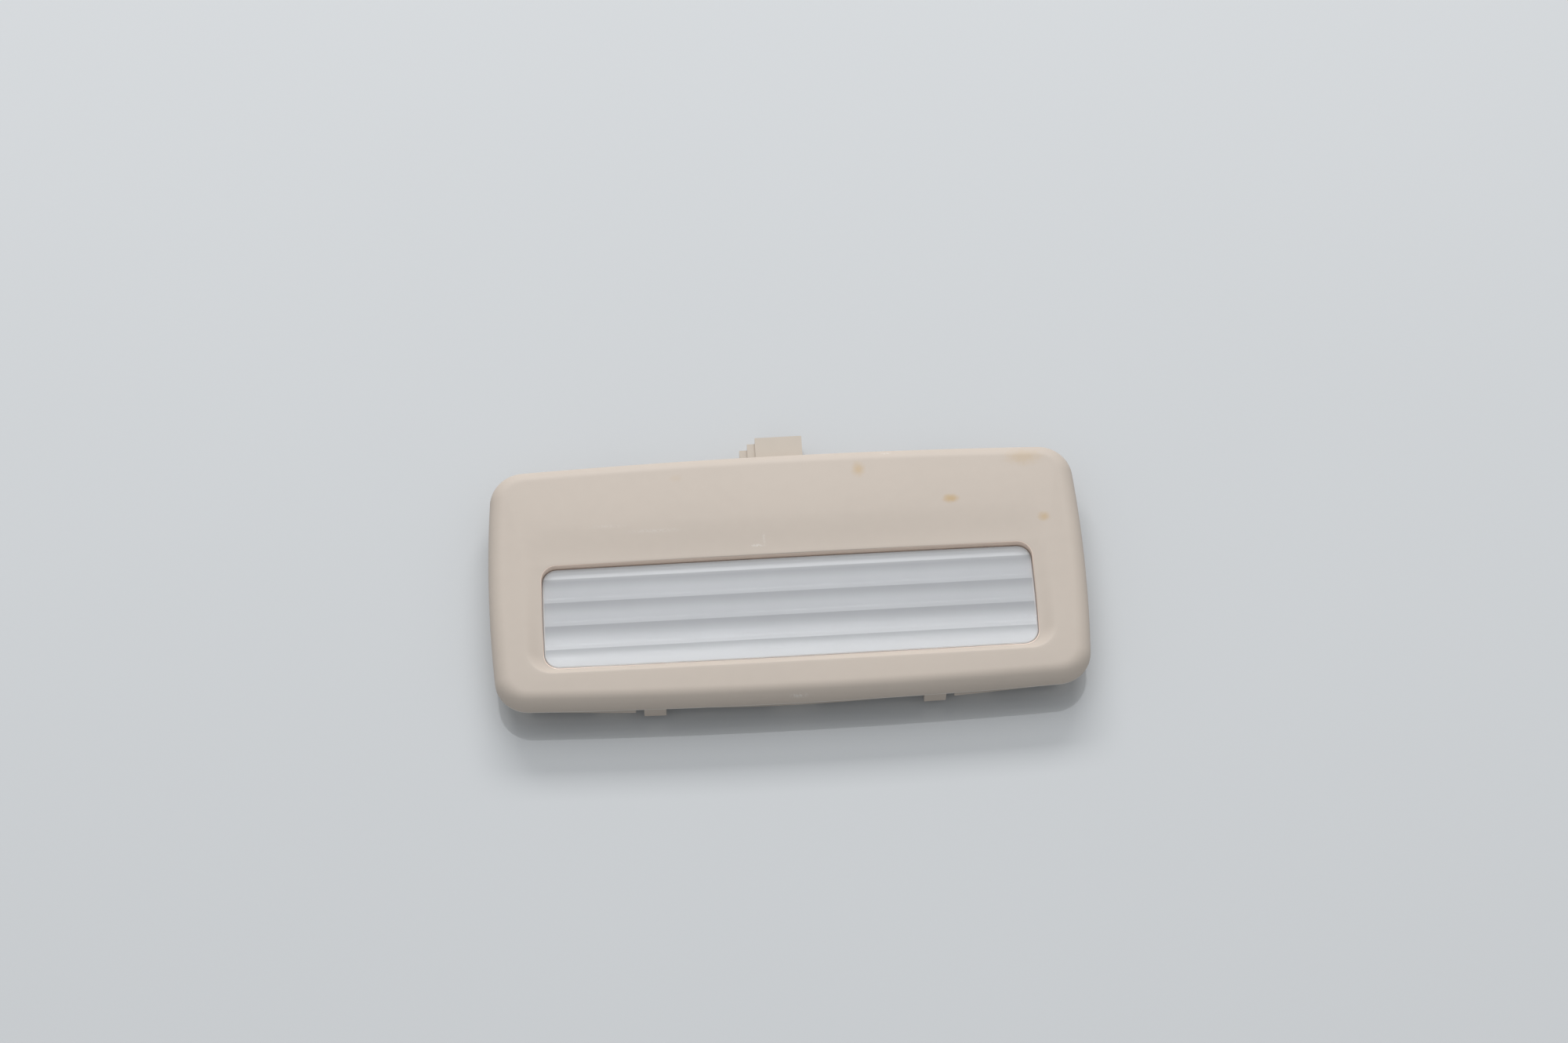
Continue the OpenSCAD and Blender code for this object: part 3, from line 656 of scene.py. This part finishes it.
def clear_lens_plastic(sizes, lens):
    """Clear moulding: haze, painted light on the far strip and the near flutes, painted shade
    towards each flute's joint, and a painted highlight along the edge.
    """
    half_l, half_w, shift = sizes.window_length / 2, sizes.window_width / 2, sizes.window_shift
    shader = Shader("lens_clear")
    haze = shader.noise(9 * MM, 3.0)
    rubs = shader.noise(1.0 * MM, 3.0, 0.6, shader.drawn_out(0.08))
    roughness = 0.03 + haze * 0.03 + rubs.band(0.55, 0.7) * 0.05
    tint = shader.blend(haze, seen(217, 217, 218), seen(227, 227, 228))
    x, y, _ = shader.axes()
    # painted light: the far strip and the near flutes are whiter, as the reflector would light them
    painted_light_far = y.band(0.5 * MM, 2.0 * MM)
    painted_light_near = 1.0 - y.band(-15.0 * MM, -9.0 * MM)
    tint = shader.blend(painted_light_far.most(painted_light_near), tint, seen(253, 253, 253))
    # painted shade: each flute darkens towards its joint
    first_joint = -shift - half_w + lens.flute_first
    painted_flute_shade = ((y - first_joint) / lens.flute_pitch).fraction().between(0.4, 0.97, 0.97, 1.0)
    tint = shader.blend(painted_flute_shade * 0.38, tint, seen(130, 131, 133))
    # painted highlight: a white line round the lens's edge
    edge_start, edge_end = 0.5 * MM, 0.25 * MM
    edge_highlight_end = abs(x).band(half_l - edge_start, half_l - edge_end)
    edge_highlight_side = abs(y + shift).band(half_w - edge_start, half_w - edge_end)
    tint = shader.blend(edge_highlight_end.most(edge_highlight_side), tint, seen(255, 255, 255))
    normal = shader.bump(rubs, 0.001 * MM, 0.2)
    return shader.finish(Base_Color=tint, Roughness=roughness, Normal=normal,
                         IOR=1.49, Transmission_Weight=0.4)


def bright_sheet_metal():
    """Rolled bright sheet with fine lines along its length, dulled by heat on the bulb's side."""
    shader = Shader("bright_sheet")
    lines = shader.noise(0.5 * MM, 2.0, 0.6, shader.drawn_out(0.03))
    cloud = shader.noise(12 * MM, 3.0)
    _, y, _ = shader.axes()
    heat = y.band(-14.0 * MM, -4.0 * MM) * (0.9 + cloud * 0.2)
    tint = shader.blend(heat, seen(252, 252, 252), seen(214, 214, 214))
    roughness = 0.26 + cloud * 0.06 + lines * 0.04 + heat * 0.4
    normal = shader.bump(lines, 0.004 * MM, 0.5)
    return shader.finish(Base_Color=tint, Metallic=1.0, Roughness=roughness, Normal=normal)


def worn_metal(name, dark, light, roughness, grain_mm=0.3):
    """Metal with fine grain and slight tarnish."""
    shader = Shader(name)
    cloud = shader.noise(2.5 * MM, 4.0)
    grain = shader.noise(grain_mm * MM, 2.0)
    tint = shader.blend(cloud.band(0.35, 0.65), dark, light)
    normal = shader.bump(grain, 0.004 * MM, 0.4)
    return shader.finish(Base_Color=tint, Metallic=1.0, Roughness=roughness + cloud * 0.12,
                         Normal=normal)


def bulb_glass_clear():
    """Clear blown tube with a faint smoky film."""
    shader = Shader("bulb_glass_clear")
    film = shader.noise(4 * MM, 2.0)
    tint = shader.blend(film, seen(244, 246, 247), seen(252, 252, 252))
    return shader.finish(Base_Color=tint, Roughness=0.02 + film * 0.03, IOR=1.5,
                         Transmission_Weight=1.0)


def table_top(base):
    """Pale glossy table with the slightest cloud."""
    shader = Shader("table_top")
    cloud = shader.noise(120 * MM, 2.0)
    tint = shader.blend(cloud, *shades(base))
    return shader.finish(Base_Color=tint, Roughness=0.03 + cloud * 0.02, IOR=1.6)


# Pieces

HOUSING_ROUND, METAL_ROUND = 0.15, 0.08  # rounds on packed edges, in millimetres
LOWER_STEPS, RIM_STEPS, FACE_STEPS, SLOPE_STEPS, EDGE_STEPS = 3, 14, 10, 18, 4
LENS_STEPS, FLUTE_STEPS, LIP_STEPS, COIL_STEPS = 5, 20, 12, 12


def rim_outline(s, inset):
    """Outline of the bezel, moved in by a distance."""
    least_corner = 1.0
    return bowed_outline(BEZEL_HALF_L - inset, BEZEL_HALF_W - inset, s.bow_short, s.bow_long,
                         max(s.corner - inset, least_corner))


def window_outline(s, out):
    """Outline of the window, moved out by a distance."""
    return bowed_outline(s.window_length / 2 + out, s.window_width / 2 + out,
                         s.window_bow, s.window_bow, s.window_corner + out, -s.window_shift)


def slope_outline(s):
    """Outer edge of the slopes round the window, which are wider on the far side."""
    return bowed_outline(s.window_length / 2 + s.slope_end,
                         (s.window_width + s.slope_near + s.slope_far) / 2,
                         s.window_bow, s.window_bow, s.slope_corner,
                         -s.window_shift + (s.slope_far - s.slope_near) / 2)


def bezel_rings(s):
    """Section lines of the bezel's shell, from under the rim over the face and back inside."""
    near_y = -s.window_shift - s.window_width / 2
    side_top = s.rim_height + s.rim_side
    rim_top = side_top + s.rim_round

    def ridge_z(point):
        part = ease(held((point[1] - near_y) / (s.window_width + s.slope_far)))
        crown = BEZEL_TOP - rim_top - s.crown_fall * (point[0] / BEZEL_HALF_L) ** 2
        return rim_top + mix(s.near_rise, crown, part)

    def edge_z(point):
        return mix(s.edge_near, s.edge_far, held((point[1] - near_y) / s.window_width))

    def face_z(point, part):
        return mix(rim_top, ridge_z(point), math.sin(math.pi / 2 * part))

    def slope_z(point, part):
        return mix(ridge_z(point), edge_z(point), ease(part))

    rings = [at_height(rim_outline(s, s.rim_wall), s.rim_height)]
    for sine, cosine in quarter_turn(LOWER_STEPS):
        rings.append(at_height(rim_outline(s, s.lower_round * (1 - sine)),
                               s.rim_height + s.lower_round * (1 - cosine)))
    for sine, cosine in quarter_turn(RIM_STEPS):
        rings.append(at_height(rim_outline(s, s.rim_round * (1 - cosine)),
                               side_top + s.rim_round * sine))
    slope, edge = slope_outline(s), window_outline(s, s.edge_round)
    rings += loft(rim_outline(s, s.rim_round), slope, FACE_STEPS, face_z)
    rings += loft(slope, edge, SLOPE_STEPS, slope_z)
    for sine, cosine in quarter_turn(EDGE_STEPS, first=1):
        edge = window_outline(s, s.edge_round * (1 - sine))
        rings.append([(*point, edge_z(point) - s.edge_round * (1 - cosine)) for point in edge])
    rings.append(at_height(window_outline(s, 0.0), s.ceiling))
    rings.append(at_height(rim_outline(s, s.rim_wall), s.ceiling))
    return rings


def half_width_at(x, inset, s):
    """Half width of the bezel's outline, moved in by a distance, at a place along its length."""
    return BEZEL_HALF_W - inset - s.bow_long * (x / (BEZEL_HALF_L - inset)) ** 2


def lip_strip(name, stations, s, lip):
    """Closed strip of the lip: stations are places along X with the drop below the rim at each."""
    root = 0.3
    top = s.rim_height + root
    rings = []
    for x, drop in stations:
        outer = -half_width_at(x, lip.inset, s)
        inner = -half_width_at(x, lip.inset + lip.thickness, s)
        low = s.rim_height - drop
        rings.append([(x, outer, low), (x, outer, top), (x, inner, top), (x, inner, low)])
    return ring_shell(name, rings)


def lip_pieces(s, lip):
    """The lip's five strips: the outer ones, the tabs and the one between the tabs."""
    tab_in, tab_out = lip.tab_place - lip.tab_width / 2, lip.tab_place + lip.tab_width / 2
    start, end = tab_out + lip.notch, BEZEL_HALF_L - s.corner - lip.end_gap
    least_drop = 0.02
    shares = [k / LIP_STEPS for k in range(LIP_STEPS + 1)]
    middle = [(mix(-tab_in, tab_in, part),
               lip.middle_drop * (1 - (2 * part - 1) ** 2) + least_drop) for part in shares]
    strips = [lip_strip("lip_middle", middle, s, lip)]
    for side in (-1, 1):
        outer = [(side * mix(start, end, part), mix(lip.drop, lip.end_drop, part))
                 for part in shares]
        tab = [(side * x, lip.tab_drop) for x in (tab_in, tab_out)]
        strips.append(lip_strip("lip_outer", outer, s, lip))
        strips.append(lip_strip("lip_tab", tab, s, lip))
    return strips


def stakes(name, x, y, diameter, low, high):
    """A pair of upright pins or holes on both sides of the middle."""
    return [prism(name, disc(side * x, y, diameter), low, high) for side in (-1, 1)]


def snap_seats(s):
    """Cutters for the wedge-shaped seats in the pocket's walls."""
    low, high = s.rim_height + s.seat_low, s.rim_height + s.seat_high
    bottom = -s.tub_gap - s.seat_depth
    section = [(PAST, low), (PAST, high), (0.0, high),
               (bottom, low + s.seat_upright), (bottom, low)]
    inset = s.rim_wall + s.tub_gap
    half_w = half_width_at(s.seat_place, inset, s)
    seats = []
    for side in (-1, 1):
        places = (((side * s.seat_place, -half_w), 0), ((side * s.seat_place, half_w), 180),
                  ((side * (BEZEL_HALF_L - inset), s.seat_end), side * 90))
        for (x, y), turn in places:
            seat = bar("snap_seat", section, (-s.seat_width / 2, s.seat_width / 2))
            place = Matrix.Translation((x * MM, y * MM, 0.0))
            seat.data.transform(place @ Matrix.Rotation(math.radians(turn), 4, "Z"))
            seats.append(seat)
    return seats


def crown_room(s, near, top):
    """Cutter for the hollow under the crown, where the heat shield lies."""
    half = s.window_length / 2 + s.room_end
    outline = round_box(half, near, BEZEL_HALF_W - s.room_wall, s.room_corner)
    return prism("crown_room", outline, s.rim_height, top)


class LIGHT_OT_bezel(bpy.types.Operator):
    """Build the moulded bezel with its smooth face, near lip and tabs"""
    bl_idname = "light.bezel"
    bl_label = "Bezel"

    def execute(self, context):
        scene = context.scene
        s, lip = InMm(scene.bezel_sizes), InMm(scene.lip_sizes)
        (_, near, _), (_, far, top) = (map(in_mm, corner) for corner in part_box("heat_shield"))
        bezel = ring_shell("bezel_shell", bezel_rings(s), closed_tube=True)
        combine(bezel, [crown_room(s, near - PLAY, top)] + snap_seats(s), "DIFFERENCE")
        lens_root, shield_root = 0.2, 0.4
        pins = stakes("lens_stake", s.stake_place, -s.window_shift, s.stake,
                      s.ceiling - s.stake_drop, s.ceiling + lens_root)
        pins += stakes("shield_stake", s.shield_stake, (near + far) / 2, s.stake,
                       top - s.shield_drop, top + shield_root)
        combine(bezel, lip_pieces(s, lip) + pins, "UNION")
        smooth(bezel, angle_deg=32.0)
        marked = beige_moulding("bezel_beige", tuple(scene.finish.bezel), scene.finish,
                                scene.bezel_sizes, scene.lip_sizes)
        settle(bezel, marked, ["bezel"])
        return {"FINISHED"}


def fluted_bar(s, lens):
    """Bar along the window whose underside is a row of round-bellied flutes."""
    pitch, depth = lens.flute_pitch, lens.flute_depth
    radius = ((pitch / 2) ** 2 + depth ** 2) / (2 * depth)
    thickness, beyond_window = 0.3, 2.0
    start = -s.window_shift - s.window_width / 2 + lens.flute_first - pitch
    window_far = -s.window_shift + s.window_width / 2
    count = math.ceil((window_far + beyond_window - start) / pitch)
    end, top = start + pitch * count, lens.under + thickness
    section = []
    for flute in range(count):
        middle = start + pitch * (flute + 0.5)
        for k in range(FLUTE_STEPS):
            y = middle + pitch * (k / FLUTE_STEPS - 0.5)
            belly = radius - math.sqrt(radius ** 2 - (y - middle) ** 2)
            section.append((y, lens.under - depth + belly))
    section += [(end, lens.under), (end, top), (start, top)]
    half = s.window_length / 2 + lens.flange
    return bar("fluted_bar", section, (-half, half))


class LIGHT_OT_lens(bpy.types.Operator):
    """Build the clear lens with its flange, ears and flutes"""
    bl_idname = "light.lens"
    bl_label = "Lens"

    def execute(self, context):
        scene = context.scene
        s, lens = InMm(scene.bezel_sizes), InMm(scene.lens_sizes)
        mid_y, half_ear, rounding = -s.window_shift, lens.ear_width / 2, lens.edge_round
        rings = [at_height(window_outline(s, -PLAY), lens.under + PAST)]
        for sine, cosine in quarter_turn(LENS_STEPS):
            rings.append(at_height(window_outline(s, -PLAY - rounding * (1 - cosine)),
                                   LENS_TOP - rounding + rounding * sine))
        piece = ring_shell("fluted_lens", rings)
        plate = prism("lens_plate", window_outline(s, lens.flange), lens.under, s.ceiling)
        ears = prism("lens_ears",
                     box_outline(-LENS_HALF_L, LENS_HALF_L, mid_y - half_ear, mid_y + half_ear),
                     lens.under, s.ceiling)
        flutes = fluted_bar(s, lens)
        fluted = window_outline(s, lens.flange - lens.flute_margin)
        trim = prism("lens_trim", fluted, 0.0, s.ceiling)
        combine(flutes, [trim], "INTERSECT")
        combine(piece, [plate, ears, flutes], "UNION")
        holes = stakes("stake_hole", s.stake_place, mid_y, s.stake + lens.stake_play,
                       lens.under - PAST, s.ceiling + PAST)
        combine(piece, holes, "DIFFERENCE")
        smooth(piece, angle_deg=20.0)
        plastic = clear_lens_plastic(scene.bezel_sizes, scene.lens_sizes)
        settle(piece, plastic, ["lens"])
        return {"FINISHED"}


class LIGHT_OT_housing(bpy.types.Operator):
    """Finish the moulded tub with its feet and socket"""
    bl_idname = "light.housing"
    bl_label = "Rear housing"

    def execute(self, context):
        finish = context.scene.finish
        plastic = beige_moulding("housing_beige", tuple(finish.housing), finish)
        dress("rear_housing", plastic, HOUSING_ROUND)
        return {"FINISHED"}


class LIGHT_OT_bright_parts(bpy.types.Operator):
    """Finish the reflector and the heat shield"""
    bl_idname = "light.bright_parts"
    bl_label = "Reflector and heat shield"

    def execute(self, context):
        sheet = bright_sheet_metal()
        smooth(dress("reflector", sheet), angle_deg=30.0)
        dress("heat_shield", sheet, METAL_ROUND)
        return {"FINISHED"}


def coil(name, radius_mm, wire_mm, half_mm, turns, middle):
    """Helix of wire along X as a curve with round section; middle is its Y and Z in metres."""
    total = turns * COIL_STEPS
    curve = bpy.data.curves.new(name, "CURVE")
    curve.dimensions = "3D"
    curve.bevel_depth = wire_mm / 2 * MM
    curve.bevel_resolution = 2
    line = curve.splines.new("POLY")
    line.points.add(total)
    for i in range(total + 1):
        angle = 2 * math.pi * i / COIL_STEPS
        line.points[i].co = (
            mix(-half_mm, half_mm, i / total) * MM,
            middle[0] + radius_mm * math.cos(angle) * MM,
            middle[1] + radius_mm * math.sin(angle) * MM, 1.0)
    piece = bpy.data.objects.new(name, curve)
    bpy.context.scene.collection.objects.link(piece)
    return piece


class LIGHT_OT_bulb(bpy.types.Operator):
    """Finish the tubular bulb: glass, caps, leads and its coiled filament"""
    bl_idname = "light.bulb"
    bl_label = "Bulb"

    def execute(self, context):
        dress("bulb_glass", bulb_glass_clear())
        cap = worn_metal("cap_metal", seen(160, 158, 152), seen(198, 196, 190), 0.2)
        for node in ("bulb_cap_left", "bulb_cap_right"):
            dress(node, cap, METAL_ROUND)
        wire = worn_metal("bulb_wire", seen(96, 94, 92), seen(140, 138, 134), 0.3, 0.1)
        dress("bulb_leads", wire)
        low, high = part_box("bulb_filament")
        middle = [(a + b) / 2 for a, b in zip(low[1:], high[1:])]
        radius = in_mm(high[2] - low[2]) / 2
        wire_mm, turns = 0.09, 44
        filament = coil("coiled_filament", radius - wire_mm / 2, wire_mm, in_mm(high[0]),
                        turns, middle)
        settle(filament, wire, ["bulb_filament"])
        return {"FINISHED"}


class LIGHT_OT_metal_parts(bpy.types.Operator):
    """Finish the contacts and the retaining clips"""
    bl_idname = "light.metal_parts"
    bl_label = "Contacts and clips"

    def execute(self, context):
        brass = worn_metal("contact_brass", seen(178, 146, 84), seen(212, 184, 120), 0.24)
        steel = worn_metal("spring_steel", seen(118, 120, 124), seen(164, 166, 170), 0.28)
        for node in ("contact_live", "contact_earth"):
            dress(node, brass, METAL_ROUND)
        for node in ("retaining_clip_left", "retaining_clip_right"):
            dress(node, steel, METAL_ROUND)
        return {"FINISHED"}


LAMP_DISTANCE = 1.2  # metres, as are the lamps' widths and heights
OVERHEAD_SIZE, OVERHEAD_RISE = (1.1, 0.7), math.radians(62.8)
BACK_SIZE, BACK_RISE = (1.0, 0.25), math.radians(34.0)
CAMERA_TARGET = Vector((0.0, 10.5 * MM, 8.4 * MM))
SENSOR_WIDTH = 36.0


class LIGHT_OT_stage(bpy.types.Operator):
    """Lay the table, hang the lamps and set the camera at the photograph's angle"""
    bl_idname = "light.stage"
    bl_label = "Stage and camera"

    def execute(self, context):
        s = context.scene.stage_setting
        self.lay_table(s)
        self.hang_lamp(context, "overhead_softbox", OVERHEAD_SIZE, OVERHEAD_RISE, s.lamp_strength)
        self.hang_lamp(context, "back_softbox", BACK_SIZE, BACK_RISE, s.back_strength)
        self.light_room(context, s)
        self.set_camera(context, s)
        return {"FINISHED"}

    def lay_table(self, s):
        """Lays a wide table just under the light."""
        reach, sink, thick = 4000.0, 0.02, 30.0
        top = box_outline(-reach, reach, -reach, reach)
        table = prism("table", top, -sink - thick, -sink)
        table.data.materials.append(table_top(tuple(s.table)))

    def hang_lamp(self, context, name, size, rise, radiance):
        """Hangs a soft rectangular lamp on the far side, with the power for its radiance."""
        lamp = bpy.data.lights.new(name, "AREA")
        lamp.shape = "RECTANGLE"
        lamp.size, lamp.size_y = size
        lamp.energy = 4 * radiance * size[0] * size[1]
        lamp.color = seen(252, 253, 255)
        holder = bpy.data.objects.new(name, lamp)
        place = Vector((0.0, LAMP_DISTANCE * math.cos(rise), LAMP_DISTANCE * math.sin(rise)))
        aim_at(holder, place, Vector((0.0, 0.0, 0.0)))
        context.scene.collection.objects.link(holder)

    def light_room(self, context, s):
        """Gives the room its even light."""
        world = bpy.data.worlds.new("room")
        world.use_nodes = True
        sky = world.node_tree.nodes["Background"]
        sky.inputs["Color"].default_value = (*seen(236, 241, 246), 1.0)
        sky.inputs["Strength"].default_value = s.fill_strength
        context.scene.world = world
        context.scene.view_settings.view_transform = "Standard"

    def set_camera(self, context, s):
        """Sets the camera at the photograph's angle."""
        camera_data = bpy.data.cameras.new("camera")
        camera_data.lens = s.focal_length
        camera_data.sensor_width = SENSOR_WIDTH
        camera_data.sensor_fit = "HORIZONTAL"
        camera_data.clip_start = 0.01
        camera = bpy.data.objects.new("camera", camera_data)
        context.scene.collection.objects.link(camera)
        back = Vector((-math.sin(s.turn) * math.cos(s.elevation),
                       -math.cos(s.turn) * math.cos(s.elevation),
                       math.sin(s.elevation)))
        aim_at(camera, CAMERA_TARGET + back * s.distance, CAMERA_TARGET)
        context.scene.camera = camera


def aim_at(item, place, target):
    """Puts a lamp or camera at a place, level and looking at a target."""
    turned = (target - place).to_track_quat("-Z", "Y").to_matrix().to_4x4()
    item.matrix_world = Matrix.Translation(place) @ turned


class LIGHT_PT_panel(bpy.types.Panel):
    """Lists the steps that build the light"""
    bl_idname = "LIGHT_PT_panel"
    bl_label = "Interior light"
    bl_space_type = "VIEW_3D"
    bl_region_type = "UI"
    bl_category = "Light"

    def draw(self, context):
        for operator in OPERATORS:
            self.layout.operator(operator.bl_idname)
        for name in PROPERTY_GROUPS:
            group = getattr(context.scene, name)
            box = self.layout.box()
            for key in group.__annotations__:
                box.prop(group, key)


OPERATORS = (LIGHT_OT_bezel, LIGHT_OT_lens, LIGHT_OT_housing, LIGHT_OT_bright_parts,
             LIGHT_OT_bulb, LIGHT_OT_metal_parts, LIGHT_OT_stage)
PROPERTY_GROUPS = {
    "bezel_sizes": BezelSizes,
    "lip_sizes": LipSizes,
    "lens_sizes": LensSizes,
    "finish": Finish,
    "stage_setting": StageSetting,
}


def register():
    """Registers the classes and hangs the property groups on the scene."""
    for group in PROPERTY_GROUPS.values():
        bpy.utils.register_class(group)
    for operator in OPERATORS:
        bpy.utils.register_class(operator)
    bpy.utils.register_class(LIGHT_PT_panel)
    for name, group in PROPERTY_GROUPS.items():
        setattr(bpy.types.Scene, name, bpy.props.PointerProperty(type=group))


def unregister():
    """Takes back what register did, in reverse."""
    for name in PROPERTY_GROUPS:
        delattr(bpy.types.Scene, name)
    bpy.utils.unregister_class(LIGHT_PT_panel)
    for operator in reversed(OPERATORS):
        bpy.utils.unregister_class(operator)
    for group in reversed(list(PROPERTY_GROUPS.values())):
        bpy.utils.unregister_class(group)


def main():
    register()
    bpy.ops.light.bezel()
    bpy.ops.light.lens()
    bpy.ops.light.housing()
    bpy.ops.light.bright_parts()
    bpy.ops.light.bulb()
    bpy.ops.light.metal_parts()
    bpy.ops.light.stage()


if __name__ == "__main__":
    main()
